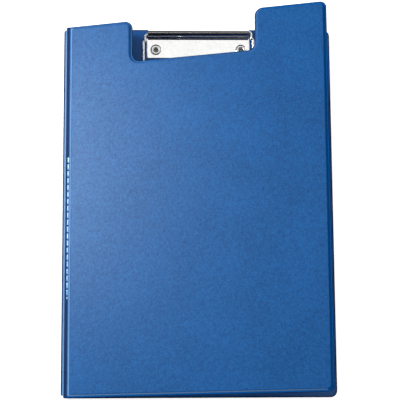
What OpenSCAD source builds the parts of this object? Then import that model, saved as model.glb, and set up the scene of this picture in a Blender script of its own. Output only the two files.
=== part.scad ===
/* [Folder] */
// Overall width, from the outer face of the spine to the free edge
folder_w = 231; // [200:1:280]
// Overall height
folder_h = 320; // [260:1:380]
// Thickness of the greyboard inside each panel
board_t = 2.0; // [1.2:0.1:3]
// Thickness of one foil
foil_t = 0.3; // [0.2:0.05:0.4]
// Width of the welded seam round the free edges
seam_w = 2.2; // [1.5:0.1:4]
// Radius of the rounded shoulder where the foil turns down to the seam
shoulder_r = 1.0; // [0.6:0.1:1.2]
// Corner radius at the free edge of both panels
corner_r = 5.5; // [4:0.5:12]

/* [Hinges] */
// Distance between the two folding lines
fold_pitch = 5.5; // [5:0.5:20]
// Welded foil between a folding line and the board of a panel
panel_hinge_w = 5.5; // [3:0.1:7]
// Welded foil between a folding line and the board of the spine
spine_hinge_w = 1.0; // [0.8:0.1:2]
// How far the front cover stands open
cover_angle = 18; // [0:1:90]

/* [Notch] */
// Width of the notch that leaves the clip free
notch_w = 107.5; // [106:0.5:130]
// Depth of the notch
notch_depth = 36; // [34.5:0.5:60]
// Corner radius at the mouth of the notch
mouth_r = 7; // [5:0.5:12]
// Corner radius at the bottom of the notch
notch_r = 6.5; // [3:0.5:12]

/* [Clip] */
// Width of the base plate
clip_w = 89.8; // [86:0.2:91]
// How far the clip and the notch sit to the right of the middle
clip_x = 0.9; // [0:0.1:10]
// Lower edge of the base plate, below the top edge of the folder
plate_drop = 26.3; // [25:0.1:28]
// Sheet thickness of the base plate
sheet_t = 0.8; // [0.6:0.1:1]
// Height of the flat of the base plate above its rim
plate_rise = 0.5; // [0.4:0.1:1]
// How far the barrel is cut back from each side of the base plate
barrel_setback = 1.1; // [0.6:0.1:2]
// Outer diameter of the rolled barrel
barrel_d = 7.5; // [7:0.1:9]
// Middle of the barrel, below the top edge of the folder
barrel_drop = 4.8; // [4.6:0.1:8]

/* [Wire bow] */
// Wire diameter
wire_d = 2.2; // [1.6:0.1:2.4]
// Distance between the middles of the two arms
bow_w = 95.5; // [94:0.5:98]
// Middle of the cross bar, below the top edge of the folder
bow_drop = 31; // [30:0.5:32]
// Bend radius of the wire at the corners of the cross bar
bow_corner_r = 4; // [3:0.5:8]
// Width of the raised finger lift in the cross bar
lift_w = 26; // [20:1:40]
// Height of the finger lift
lift_h = 4.5; // [3:0.5:8]

/* [Rivets] */
// Distance between the rivets
rivet_pitch = 74; // [50:0.5:75]
// Middle of the rivets, below the top edge of the folder
rivet_drop = 18.5; // [16.5:0.1:19]
// Bore through each hollow rivet
rivet_bore_d = 3.9; // [2.5:0.1:4.4]
// Shank diameter
rivet_shank_d = 5; // [4.8:0.1:6]
// Flange diameter
rivet_head_d = 8.2; // [7:0.1:9]

/* [Pocket] */
// Height of the document pocket inside the front cover
pocket_h = 190; // [120:5:260]
// Distance of the pocket from the edges of the cover board
pocket_margin = 5; // [4:1:20]
// Thickness of the pocket foil
pocket_t = 0.25; // [0.15:0.05:0.4]

/* [Hidden] */
$fn = 48;

// Free play between a board and the foil over it
foil_play = 0.05;
// Half of the slit left at a folding line, so that the foils of two bodies stay apart
fold_slit = 0.45;
// Corner radius of the boards and foils at the hinge side
hinge_corner_r = 1.5;
// Play round a rivet shank
rivet_play = 0.05;
// Gap between the wire and what it rests on
wire_play = 0.3;
// How far a cut runs past the solid
over = 1;

panel_t = board_t + 2 * foil_t + 2 * foil_play;
fold_x = panel_t - foil_t - folder_w / 2;
back_fold_z = panel_t - foil_t;
cover_fold_z = back_fold_z + fold_pitch;
panel_u = folder_w / 2 - fold_x;
top_y = folder_h / 2;
notch_u0 = clip_x - notch_w / 2 - fold_x;
notch_u1 = notch_u0 + notch_w;

barrel_r = barrel_d / 2;
barrel_w = clip_w - 2 * barrel_setback;
barrel_y = top_y - barrel_drop;
plate_y = top_y - plate_drop;
rivet_y = top_y - rivet_drop;
plate_top = plate_rise + sheet_t;

FOIL_BLUE = [0.16, 0.36, 0.62];
INNER_BLUE = [0.12, 0.24, 0.45];
GREYBOARD = [0.62, 0.58, 0.52];
CHROME = [0.80, 0.81, 0.83];

// Sides of the wire, and the angle between two of its stations in a bend
WIRE_SIDES = 16;
BEND_STEP = 12;

// ---------------------------------------------------------------- outlines

// What a rounded corner of radius r leaves outside, in the first quadrant
module corner_waste(r) {
    difference() {
        square(r + over);
        circle(r = r);
    }
}

// Rectangle with radius r0 at its left corners and r1 at its right corners
module rounded_rect(x0, x1, y0, y1, r0, r1) {
    difference() {
        translate([x0, y0]) square([x1 - x0, y1 - y0]);
        if (r1 > 0) {
            translate([x1 - r1, y1 - r1]) corner_waste(r1);
            translate([x1 - r1, y0 + r1]) mirror([0, 1]) corner_waste(r1);
        }
        if (r0 > 0) {
            translate([x0 + r0, y1 - r0]) mirror([1, 0]) corner_waste(r0);
            translate([x0 + r0, y0 + r0]) rotate(180) corner_waste(r0);
        }
    }
}

// The notch, grown on every side by inset
module notch_cut(inset) {
    u0 = notch_u0 - inset;
    u1 = notch_u1 + inset;
    floor_y = top_y - notch_depth - inset;
    r = notch_r + inset;
    mouth = mouth_r - inset;
    difference() {
        translate([u0, floor_y]) square([u1 - u0, notch_depth + inset + over]);
        translate([u1 - r, floor_y + r]) mirror([0, 1]) corner_waste(r);
        translate([u0 + r, floor_y + r]) rotate(180) corner_waste(r);
    }
    translate([u0 - mouth, top_y - inset - mouth]) corner_waste(mouth);
    translate([u1 + mouth, top_y - inset - mouth]) mirror([1, 0]) corner_waste(mouth);
}

// Outline of a panel, inset from its free edges
module panel_outline(u0, u1, inset, r0, r1, notched) {
    difference() {
        rounded_rect(u0, u1, inset - top_y, top_y - inset, r0, r1);
        if (notched) notch_cut(inset);
    }
}

// ------------------------------------------------- rounded shoulder along an outline

// Sides of a rounded rectangle, anticlockwise from its lower edge: length, turn, corner radius
function rect_run(x0, x1, h, r0, r1) =
    [[x1 - x0 - r0 - r1, 1, r1], [h - 2 * r1, 1, r1], [x1 - x0 - r0 - r1, 1, r0], [h - 2 * r0, 1, r0]];

// The same for a notched panel
function notched_run(x0, x1, inset, r0, r1) =
    let (h = folder_h - 2 * inset,
         mouth = mouth_r - inset,
         r = notch_r + inset,
         wall = notch_depth - mouth - r)
    [[x1 - x0 - r0 - r1, 1, r1],
     [h - 2 * r1, 1, r1],
     [x1 - r1 - notch_u1 - inset - mouth, 1, mouth],
     [wall, -1, r],
     [notch_w + 2 * inset - 2 * r, -1, r],
     [wall, 1, mouth],
     [notch_u0 - inset - mouth - x0 - r0, 1, r0],
     [h - 2 * r0, 1, r0]];

module quarter_disc(r) {
    intersection() {
        circle(r = r);
        square(r);
    }
}

// Quarter round of radius r that follows the sides in run, with the solid on its left.
// A side whose turn is 0 ends it.
module shoulder(run, r, i = 0) {
    if (i < len(run)) {
        side = run[i][0];
        turn = run[i][1];
        corner = run[i][2];
        rotate([90, 0, 90]) linear_extrude(side) translate([r, 0]) mirror([1, 0]) quarter_disc(r);
        if (turn != 0) translate([side, turn * corner, 0]) {
            if (turn > 0) rotate([0, 0, -90]) rotate_extrude(angle = 90)
                translate([corner - r, 0]) quarter_disc(r);
            else rotate_extrude(angle = 90)
                translate([corner + r, 0]) mirror([1, 0]) quarter_disc(r);
            translate([corner, 0, 0]) rotate([0, 0, turn * 90]) shoulder(run, r, i + 1);
        }
    }
}

// Slab with a rounded upper edge, on the outline of a panel
module panel_slab(u0, u1, inset, r0, r1, t, r, notched) {
    h = folder_h - 2 * inset;
    run = notched ? notched_run(u0, u1, inset, r0, r1) : rect_run(u0, u1, h, r0, r1);
    linear_extrude(t - r) panel_outline(u0, u1, inset, r0, r1, notched);
    linear_extrude(t) panel_outline(u0 + r, u1 - r, inset + r, r0 - r, r1 - r, notched);
    translate([u0 + r0, -h / 2, t - r]) shoulder(run, r);
}

// ------------------------------------------------------------------- panels
// A panel lies with its inner face on z = 0, its outer side up and its folding line at u = 0.
// near and far are the widths of welded foil beside its board.

// Greyboard of a panel that is w wide
module board(w, near, far, far_r, notched) {
    skin = foil_t + foil_play;
    translate([0, 0, skin])
        panel_slab(near + skin, w - far - skin, seam_w + skin, hinge_corner_r - skin, far_r - skin,
                   board_t, shoulder_r - skin, notched);
}

// Outer foil: drawn over the board, with a flat seam all round
module outer_foil(w, near, far, far_r, far_edge, edge_r, notched) {
    translate([0, 0, foil_t]) difference() {
        union() {
            linear_extrude(foil_t) panel_outline(fold_slit, far_edge, 0, 0, edge_r, notched);
            panel_slab(near, w - far, seam_w, hinge_corner_r, far_r, panel_t - foil_t, shoulder_r, notched);
        }
        panel_slab(near + foil_t, w - far - foil_t, seam_w + foil_t, hinge_corner_r - foil_t,
                   far_r - foil_t, panel_t - 2 * foil_t, shoulder_r - foil_t, notched);
    }
}

// Inner foil: a flat sheet over the whole panel
module inner_foil(far_edge, edge_r, notched) {
    linear_extrude(foil_t) panel_outline(fold_slit, far_edge, 0, 0, edge_r, notched);
}

module in_back() {
    translate([fold_x, 0, panel_t]) mirror([0, 0, 1]) children();
}

module in_spine() {
    translate([fold_x + foil_t, 0, back_fold_z]) rotate([0, -90, 0]) children();
}

module in_cover() {
    translate([fold_x, 0, cover_fold_z]) rotate([0, -cover_angle, 0]) translate([0, 0, -foil_t]) children();
}

// Puts children at both rivets, at the height of the inner face of the back board
module at_rivets() {
    for (side = [-1, 1])
        translate([clip_x + side * rivet_pitch / 2, rivet_y, panel_t]) children();
}

// ------------------------------------------------------------------ sub-parts

// Depth and radius of the dimple that takes the set end of a rivet in the back
set_depth = 0.7;
set_r = rivet_head_d / 2 + 0.6;

module back_board() {
    color(GREYBOARD) difference() {
        in_back() board(panel_u, panel_hinge_w, seam_w, corner_r - seam_w, false);
        at_rivets() translate([0, 0, -panel_t]) {
            cylinder(h = panel_t, r = rivet_shank_d / 2 + rivet_play);
            cylinder(h = set_depth + foil_t + foil_play, r = set_r + foil_t + foil_play);
        }
    }
}

module back_outer_foil() {
    color(FOIL_BLUE) {
        difference() {
            in_back()
                outer_foil(panel_u, panel_hinge_w, seam_w, corner_r - seam_w, panel_u, corner_r, false);
            at_rivets() translate([0, 0, -panel_t]) cylinder(h = foil_t, r = set_r + foil_t);
        }
        at_rivets() translate([0, 0, -panel_t]) difference() {
            cylinder(h = set_depth + foil_t, r = set_r + foil_t);
            cylinder(h = set_depth, r = set_r);
            cylinder(h = set_depth + foil_t, r = rivet_shank_d / 2 + rivet_play);
        }
    }
}

module back_inner_foil() {
    color(INNER_BLUE) difference() {
        in_back() inner_foil(panel_u, corner_r, false);
        at_rivets() translate([0, 0, -foil_t]) cylinder(h = foil_t, r = rivet_shank_d / 2 + rivet_play);
    }
}

module spine_board() {
    color(GREYBOARD) in_spine() board(fold_pitch, spine_hinge_w, spine_hinge_w, hinge_corner_r, false);
}

module spine_outer_foil() {
    far_edge = fold_pitch - fold_slit;
    color(FOIL_BLUE) in_spine()
        outer_foil(fold_pitch, spine_hinge_w, spine_hinge_w, hinge_corner_r, far_edge, 0, false);
}

module spine_inner_foil() {
    color(INNER_BLUE) in_spine() inner_foil(fold_pitch - fold_slit, 0, false);
}

module cover_board() {
    color(GREYBOARD) in_cover() board(panel_u, panel_hinge_w, seam_w, corner_r - seam_w, true);
}

module cover_outer_foil() {
    color(FOIL_BLUE) in_cover()
        outer_foil(panel_u, panel_hinge_w, seam_w, corner_r - seam_w, panel_u, corner_r, true);
}

module cover_inner_foil() {
    color(INNER_BLUE) in_cover() inner_foil(panel_u, corner_r, true);
}

// Sheet welded along three sides, with a thumb cut in its upper edge
thumb_r = 14;

module cover_pocket() {
    u0 = panel_hinge_w + pocket_margin;
    u1 = panel_u - seam_w - pocket_margin;
    y0 = seam_w + pocket_margin - top_y;
    color(INNER_BLUE) in_cover() translate([0, 0, -pocket_t - foil_play]) linear_extrude(pocket_t)
        difference() {
            rounded_rect(u0, u1, y0, y0 + pocket_h, corner_r, corner_r);
            translate([(u0 + u1) / 2, y0 + pocket_h]) circle(r = thumb_r);
        }
}

// ----------------------------------------------------------------------- clip

plate_corner_r = 2;
plate_edge_r = 0.6;
// Where the flat begins, in front of the middle of the barrel
plate_start = 1.5;
// Opening between the rolled edge and the flat of the plate
roll_gap = 0.5;

// Width of the dimple round the flange of a rivet, and of the slope at its rim
dimple_margin = 0.9;
dimple_slope = 0.8;
// Flat left on top of the plate outside that slope
dimple_crest = 0.2;

// Dimple that takes the flange of a rivet
module plate_dimple() {
    bore = rivet_shank_d / 2 + rivet_play;
    edge = rivet_head_d / 2 + dimple_margin;
    rim = edge - dimple_crest;
    rotate_extrude() polygon([[bore, 0], [edge - dimple_slope, 0], [edge, plate_rise], [edge, plate_top],
                              [rim, plate_top], [rim - dimple_slope, sheet_t], [bore, sheet_t]]);
}

// Flat of the plate, pressed up from a turned-down rim on its three free sides. It lies along +X from
// inside the wall of the barrel to the lower edge of the plate.
module plate_flat() {
    half = clip_w / 2;
    length = barrel_y - plate_y - plate_start;
    r = plate_corner_r;
    e = plate_edge_r;
    difference() {
        union() {
            linear_extrude(plate_top - e) rounded_rect(0, length, -half, half, 0, r);
            linear_extrude(plate_top) rounded_rect(0, length - e, e - half, half - e, 0, r - e);
            translate([0, -half, plate_top - e])
                shoulder([[length - r, 1, r], [clip_w - 2 * r, 1, r], [length - r, 0, 0]], e);
        }
        linear_extrude(plate_rise)
            rounded_rect(0, length - sheet_t, sheet_t - half, half - sheet_t, 0, r - sheet_t);
    }
}

// Round bar along X through the middle of the barrel
module barrel_bar(r, length) {
    translate([-length / 2, 0, barrel_r]) rotate([0, 90, 0]) cylinder(h = length, r = r);
}

// Steps beside the barrel, which leave the wire room to come out of it. Each spans the side of the plate.
module barrel_steps() {
    for (side = [-1, 1])
        translate([side * clip_w / 2 - barrel_setback, -barrel_r, -over])
            cube([2 * barrel_setback, barrel_r, plate_top + 2 * over]);
}

// Base plate: its upper edge is rolled over toward the page into an open barrel for the wire
module clip_plate() {
    color(CHROME) {
        difference() {
            translate([clip_x, barrel_y, panel_t]) difference() {
                union() {
                    translate([0, -plate_start, 0]) rotate([0, 0, -90]) plate_flat();
                    barrel_bar(barrel_r, barrel_w);
                }
                barrel_bar(barrel_r - sheet_t, clip_w + 2 * over);
                barrel_steps();
                translate([-clip_w / 2 - over, -barrel_r - over, plate_top])
                    cube([clip_w + 2 * over, barrel_r + over - sheet_t, roll_gap]);
            }
            at_rivets() cylinder(h = plate_top + over, r = rivet_head_d / 2 + dimple_margin);
        }
        at_rivets() plate_dimple();
    }
}

// Vector v turned by angle a about the unit axis k
function spun(v, k, a) = v * cos(a) + cross(k, v) * sin(a) + k * (k * v) * (1 - cos(a));

// A station of the wire holds its place and its directions ahead, left and up
function gone(s, length) = [s[0] + length * s[1], s[1], s[2], s[3]];

// Station s after a bend of angle a and radius r. Roll 0 bends to the left and roll 90 bends up.
function bent(s, a, r, roll) =
    let (k = spun(s[3], s[1], roll),
         middle = s[0] + sign(a) * r * cross(k, s[1]))
    a == 0 ? s : [middle + spun(s[0] - middle, k, a), spun(s[1], k, a), spun(s[2], k, a), spun(s[3], k, a)];

// All stations of a wire. A move is [length] for a straight stretch or [angle, radius, roll] for a bend.
function stations(moves, s, i = 0) =
    i == len(moves) ? [s] :
    let (m = moves[i])
    len(m) == 1 ? concat([s], stations(moves, gone(s, m[0]), i + 1)) :
    let (steps = ceil(abs(m[0]) / BEND_STEP))
    concat([for (j = [0 : steps - 1]) bent(s, m[0] * j / steps, m[1], m[2])],
           stations(moves, bent(s, m[0], m[1], m[2]), i + 1));

// Round wire through the stations
module wire(course) {
    n = WIRE_SIDES;
    last = len(course) - 1;
    points = [for (s = course, k = [0 : n - 1])
        s[0] + wire_d / 2 * (cos(360 * k / n) * s[2] + sin(360 * k / n) * s[3])];
    sides = [for (i = [0 : last - 1], k = [0 : n - 1])
        let (a = i * n + k, b = i * n + (k + 1) % n)
        each [[a, a + n, b], [b, a + n, b + n]]];
    ends = [[for (k = [0 : n - 1]) k], [for (k = [n - 1 : -1 : 0]) last * n + k]];
    polyhedron(points, concat(sides, ends));
}

// Moves that shift the wire sideways by w: a bend, a straight stretch and the bend back
function step_moves(w, angle, r, roll) =
    [[angle, r, roll], [(abs(w) - 2 * r * (1 - cos(angle))) / sin(abs(angle))], [-angle, r, roll]];

// Length along the wire's course that such a step takes up
function step_length(w, angle, r) =
    2 * r * sin(abs(angle)) + (abs(w) - 2 * r * (1 - cos(angle))) / tan(abs(angle));

exit_r = 1.9;
jog_angle = 50;
jog_r = 1.3;
lift_angle = 60;
lift_r = 2.4;
// Each end of the wire lies this far from the middle of the barrel
leg_offset = wire_d / 2 + 0.05;
// Each end of the wire stops this far inside the barrel
leg_stop = 2;
// How far the wire runs out of the barrel before it bends
exit_lead = 0.3;
// First stretch of an arm, before its outward step
arm_start = 2.6;

module wire_bow() {
    bar_fall = barrel_r - wire_d / 2 - wire_play;
    reach_y = bow_drop - barrel_drop;
    tilt = atan(bar_fall / reach_y);
    reach = norm([bar_fall, reach_y]);
    leg = barrel_w - leg_stop + exit_lead;
    exit_x = barrel_w / 2 + exit_lead + exit_r;
    jog = bow_w / 2 - exit_x;
    jog_len = step_length(jog, jog_angle, jog_r);
    left_arm = reach - leg_offset - exit_r - arm_start - jog_len - bow_corner_r;
    right_arm = left_arm + 2 * leg_offset;
    lift_len = step_length(lift_h, lift_angle, lift_r);
    side_bar = (bow_w - 2 * bow_corner_r - lift_w) / 2 - lift_len;
    moves = concat(
        [[leg], [90, exit_r, 0], [arm_start]],
        step_moves(jog, -jog_angle, jog_r, 0),
        [[left_arm], [90, bow_corner_r, 0], [side_bar]],
        step_moves(lift_h, lift_angle, lift_r, 90),
        [[lift_w]],
        step_moves(lift_h, -lift_angle, lift_r, 90),
        [[side_bar], [90, bow_corner_r, 0], [right_arm]],
        step_moves(jog, jog_angle, jog_r, 0),
        [[arm_start], [90, exit_r, 0], [leg]]);
    start = [[barrel_w / 2 - leg_stop, -leg_offset, 0], [-1, 0, 0], [0, -1, 0], [0, 0, 1]];
    color(CHROME) translate([clip_x, barrel_y, panel_t + barrel_r]) rotate([tilt, 0, 0])
        wire(stations(moves, start));
}

// Thickness of a rivet's flange and of its rolled end
flange_t = 0.9;
set_t = 0.5;

// Hollow rivets: a flange in the plate's dimple, a shank through the board and a rolled end behind it
module hollow_rivets() {
    bore = rivet_bore_d / 2;
    shank = rivet_shank_d / 2;
    flange = (rivet_head_d - flange_t) / 2;
    low = set_depth - set_t - panel_t;
    color(CHROME) at_rivets() rotate_extrude() difference() {
        union() {
            translate([0, low]) square([shank, sheet_t - low]);
            translate([0, sheet_t]) square([flange, flange_t]);
            translate([flange, sheet_t + flange_t / 2]) circle(d = flange_t);
            translate([0, low]) square([flange - set_t / 2, set_t]);
            translate([flange - set_t / 2, low + set_t / 2]) circle(d = set_t);
        }
        translate([0, low - over]) square([bore, sheet_t + flange_t - low + 2 * over]);
        translate([bore + flange_t, sheet_t]) mirror([1, 0]) corner_waste(flange_t);
    }
}

back_board();
back_outer_foil();
back_inner_foil();
spine_board();
spine_outer_foil();
spine_inner_foil();
cover_board();
cover_outer_foil();
cover_inner_foil();
cover_pocket();
clip_plate();
wire_bow();
hollow_rivets();
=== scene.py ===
"""Folding clipboard: a back board and a notched front cover in blue foil, joined by a narrow spine, with a
nickelled wire clip riveted to the back board."""
import math

import bpy
import numpy as np
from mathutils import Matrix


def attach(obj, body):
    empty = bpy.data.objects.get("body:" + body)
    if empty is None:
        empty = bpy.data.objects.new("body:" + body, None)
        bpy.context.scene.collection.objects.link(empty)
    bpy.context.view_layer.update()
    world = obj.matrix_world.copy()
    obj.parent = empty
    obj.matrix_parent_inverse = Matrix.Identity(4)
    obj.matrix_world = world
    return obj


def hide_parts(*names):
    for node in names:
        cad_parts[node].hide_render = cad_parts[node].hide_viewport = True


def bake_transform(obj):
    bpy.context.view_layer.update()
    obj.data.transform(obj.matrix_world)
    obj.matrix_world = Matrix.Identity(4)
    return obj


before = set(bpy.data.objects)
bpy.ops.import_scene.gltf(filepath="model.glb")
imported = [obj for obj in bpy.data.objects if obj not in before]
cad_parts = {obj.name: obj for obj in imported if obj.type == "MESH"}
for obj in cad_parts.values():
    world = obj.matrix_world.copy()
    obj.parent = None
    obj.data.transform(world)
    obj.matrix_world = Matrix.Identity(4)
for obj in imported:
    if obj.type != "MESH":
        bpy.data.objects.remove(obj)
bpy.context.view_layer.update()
MM = 0.001


# ---------------------------------------------------------------------- sizes
# In millimetres, as in the part's source. First a panel: its outline, its thickness and the seam round it.
HALF_HEIGHT = 160.0
PANEL_T = 2.7
FOIL_T = 0.3
PANEL_U = 228.6
SEAM_W = 2.2
CORNER_R = 5.5
HINGE_CORNER_R = 1.5
SHOULDER_R = 1.0
# The folds on either side of the spine, and the width of the flat seam beside them.
PANEL_HINGE_W = 5.5
SPINE_HINGE_W = 1.0
FOLD_SLIT = 0.45
FOLD_PITCH = 5.5
FOLD_X = -113.1
BACK_FOLD_Z = 2.4
COVER_FOLD_Z = BACK_FOLD_Z + FOLD_PITCH
COVER_ANGLE = math.radians(18.0)
# The notch in the cover, from its left to its right side as seen from the front.
NOTCH_U0 = 60.25
NOTCH_U1 = 167.75
NOTCH_DEPTH = 36.0
NOTCH_R = 6.5
MOUTH_R = 7.0
# The clip: its base plate with the rolled barrel, and the two rivets that hold it.
CLIP_X = 0.9
BARREL_W = 87.6
BARREL_Y = 155.2
BARREL_R = 3.75
SHEET_T = 0.8
RIVET_Y = 141.5
RIVET_PITCH = 74.0


# ------------------------------------------------------------------ finishes

def new_finish(name):
    """An empty finish: its material, its node tree and its Principled shader."""
    material = bpy.data.materials.new(name)
    material.use_nodes = True
    tree = material.node_tree
    return material, tree, tree.nodes["Principled BSDF"]


def place_nodes(tree, scale=(1.0, 1.0, 1.0)):
    """Object coordinates in metres, multiplied by scale on each axis."""
    coordinates = tree.nodes.new("ShaderNodeTexCoord")
    mapping = tree.nodes.new("ShaderNodeMapping")
    mapping.inputs["Scale"].default_value = scale
    tree.links.new(coordinates.outputs["Object"], mapping.inputs["Vector"])
    return mapping.outputs["Vector"]


def noise(tree, vector, scale, detail, rough=0.5, distortion=0.0):
    """Fractal noise over vector, about 0.5 on average."""
    node = tree.nodes.new("ShaderNodeTexNoise")
    node.inputs["Scale"].default_value = scale
    node.inputs["Detail"].default_value = detail
    node.inputs["Roughness"].default_value = rough
    node.inputs["Distortion"].default_value = distortion
    tree.links.new(vector, node.inputs["Vector"])
    return node.outputs["Fac"]


def cells(tree, vector, scale, feature="SMOOTH_F1"):
    """Distance from the middles of cells. Smooth cells are the pebbles of an embossed grain."""
    node = tree.nodes.new("ShaderNodeTexVoronoi")
    node.feature = feature
    node.inputs["Scale"].default_value = scale
    tree.links.new(vector, node.inputs["Vector"])
    return node.outputs["Distance"]


def spread(tree, value, low, high, from_low=0.3, from_high=0.7):
    """Value taken from its own range to the range low to high."""
    node = tree.nodes.new("ShaderNodeMapRange")
    node.inputs["From Min"].default_value = from_low
    node.inputs["From Max"].default_value = from_high
    node.inputs["To Min"].default_value = low
    node.inputs["To Max"].default_value = high
    tree.links.new(value, node.inputs["Value"])
    return node.outputs["Result"]


def arithmetic(tree, operation, *values):
    """One step of arithmetic on one to three values, each of them a socket or a number."""
    node = tree.nodes.new("ShaderNodeMath")
    node.operation = operation
    for socket, value in zip(node.inputs, values):
        if isinstance(value, (int, float)):
            socket.default_value = value
        else:
            tree.links.new(value, socket)
    return node.outputs["Value"]


def vector_maths(tree, operation, a, b=None):
    """One step of arithmetic on a vector and a second one, which gives a vector or a number."""
    node = tree.nodes.new("ShaderNodeVectorMath")
    node.operation = operation
    tree.links.new(a, node.inputs[0])
    if isinstance(b, tuple):
        node.inputs[1].default_value = b
    elif b is not None:
        tree.links.new(b, node.inputs[1])
    return node.outputs["Value" if operation in ("DOT_PRODUCT", "LENGTH") else "Vector"]


def blend_sockets(tree, kind, share, first, second):
    """Value that goes from first to second as share goes from 0 to 1. The kind is RGBA or VECTOR."""
    node = tree.nodes.new("ShaderNodeMix")
    node.data_type = kind
    tree.links.new(share, node.inputs["Factor"])
    ends = {socket.name: socket for socket in node.inputs if socket.type == kind}
    for end, value in ((ends["A"], first), (ends["B"], second)):
        if isinstance(value, tuple):
            end.default_value = value
        else:
            tree.links.new(value, end)
    return [socket for socket in node.outputs if socket.type == kind][0]


def blend_colours(tree, share, first, second):
    """Colour that goes from first to second as share goes from 0 to 1."""
    first, second = ((*c, 1.0) if isinstance(c, tuple) else c for c in (first, second))
    return blend_sockets(tree, "RGBA", share, first, second)


def emboss(tree, shader, height, distance):
    """Raises the surface by height times distance, in metres."""
    node = tree.nodes.new("ShaderNodeBump")
    node.inputs["Distance"].default_value = distance
    tree.links.new(height, node.inputs["Height"])
    tree.links.new(node.outputs["Normal"], shader.inputs["Normal"])
    return node


# The patterns of the foil, as finenesses next to its grain's. Lint is drawn out by a factor along one axis.
CRUMBLE_SCALE = 0.8
LINT_SCALE = 1.1
LINT_STRETCH = 0.22
MOTTLE_SCALE = 0.62
PATCH_SCALE = 0.28
# The clouds in its colour, to the metre.
CLOUD_SCALE = 22.0
# Shares of the patterns in the foil's relief and in its colour, and how far its gloss varies.
PEBBLE_SHARE = 0.6
LINT_SHARE = 0.35
MOTTLE_SHARE = 0.45
CLOUD_SHARE = 0.12
LINT_TINT = 0.5
PATCH_SHARE = 0.16
GLOSS_RANGE = 0.06


def foil_finish(name, light, deep, grain, depth, rough, specular):
    """Embossed plastic foil: pebbled grain with fine lint-like lines, cloudy colour and uneven gloss. The
    grain is in pebbles to the metre and its depth in metres."""
    material, tree, shader = new_finish(name)
    place = place_nodes(tree)
    pebbles = cells(tree, place, grain)
    crumble = noise(tree, place, grain * CRUMBLE_SCALE, detail=6.0, rough=0.62)
    across = noise(tree, place_nodes(tree, (1.0, LINT_STRETCH, 1.0)), grain * LINT_SCALE, detail=3.0)
    along = noise(tree, place_nodes(tree, (LINT_STRETCH, 1.0, 1.0)), grain * LINT_SCALE, detail=3.0)
    lint = arithmetic(tree, "MULTIPLY", arithmetic(tree, "ADD", across, along), LINT_SHARE)
    height = arithmetic(tree, "ADD", arithmetic(tree, "MULTIPLY", pebbles, PEBBLE_SHARE),
                        arithmetic(tree, "ADD", crumble, lint))
    emboss(tree, shader, height, depth)
    mottle = noise(tree, place, grain * MOTTLE_SCALE, detail=4.0, rough=0.7)
    cloud = noise(tree, place, CLOUD_SCALE, detail=3.0)
    patches = noise(tree, place, grain * PATCH_SCALE, detail=2.0)
    shade = arithmetic(tree, "MULTIPLY", mottle, MOTTLE_SHARE)
    for pattern, share in ((cloud, CLOUD_SHARE), (lint, LINT_TINT), (patches, PATCH_SHARE)):
        shade = arithmetic(tree, "ADD", shade, arithmetic(tree, "MULTIPLY", pattern, share))
    tone = blend_colours(tree, spread(tree, shade, 0.0, 1.0, from_low=0.42, from_high=0.66), deep, light)
    tree.links.new(tone, shader.inputs["Base Color"])
    gloss = spread(tree, mottle, rough + GLOSS_RANGE, rough - GLOSS_RANGE)
    tree.links.new(gloss, shader.inputs["Roughness"])
    shader.inputs["Specular IOR Level"].default_value = specular
    return material


BOARD_DARK = (0.27, 0.24, 0.20)
BOARD_LIGHT = (0.42, 0.38, 0.32)
BOARD_FLECK = (0.12, 0.11, 0.10)


def greyboard_finish():
    """Recycled greyboard: pressed paper fibres with darker flecks."""
    material, tree, shader = new_finish("greyboard")
    place = place_nodes(tree, (1.0, 1.0, 6.0))
    fibres = noise(tree, place, 900.0, detail=5.0, rough=0.65, distortion=0.6)
    flecks = cells(tree, place, 420.0, "F1")
    tone = blend_colours(tree, spread(tree, fibres, 0.0, 1.0), BOARD_DARK, BOARD_LIGHT)
    speck = spread(tree, flecks, 1.0, 0.0, from_low=0.05, from_high=0.12)
    tree.links.new(blend_colours(tree, speck, tone, BOARD_FLECK), shader.inputs["Base Color"])
    shader.inputs["Roughness"].default_value = 0.9
    emboss(tree, shader, fibres, 0.00008)
    return material


# A point is in the barrel's wall within this share of the sheet's thickness either side of its middle, and on
# its face, not its cut edge, where the surface and the outward vector are this nearly in line.
WALL_REACH = 0.55
FACE_IN_LINE = 0.96


def rolled_normal(tree):
    """Normal of the base plate. On its rolled barrel this is the unit vector straight out from the barrel's
    axis, on the side that the surface faces, so that the rolled sheet shines as one curve."""
    surface = tree.nodes.new("ShaderNodeNewGeometry").outputs["True Normal"]
    offset = vector_maths(tree, "SUBTRACT", place_nodes(tree),
                          (0.0, BARREL_Y * MM, (PANEL_T + BARREL_R) * MM))
    offset = vector_maths(tree, "MULTIPLY", offset, (0.0, 1.0, 1.0))
    outward = vector_maths(tree, "NORMALIZE", offset)
    facing = vector_maths(tree, "DOT_PRODUCT", outward, surface)
    in_wall = arithmetic(tree, "COMPARE", vector_maths(tree, "LENGTH", offset),
                         (BARREL_R - SHEET_T / 2) * MM, WALL_REACH * SHEET_T * MM)
    on_face = arithmetic(tree, "GREATER_THAN", arithmetic(tree, "ABSOLUTE", facing), FACE_IN_LINE)
    share = arithmetic(tree, "MULTIPLY", in_wall, on_face)
    straight_out = tree.nodes.new("ShaderNodeVectorMath")
    straight_out.operation = "SCALE"
    tree.links.new(outward, straight_out.inputs[0])
    tree.links.new(arithmetic(tree, "SIGN", facing), straight_out.inputs["Scale"])
    return blend_sockets(tree, "VECTOR", share, surface, straight_out.outputs["Vector"])


# Tarnished patches of the nickel are darker than the rest by this factor.
TARNISH = 0.94


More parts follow.
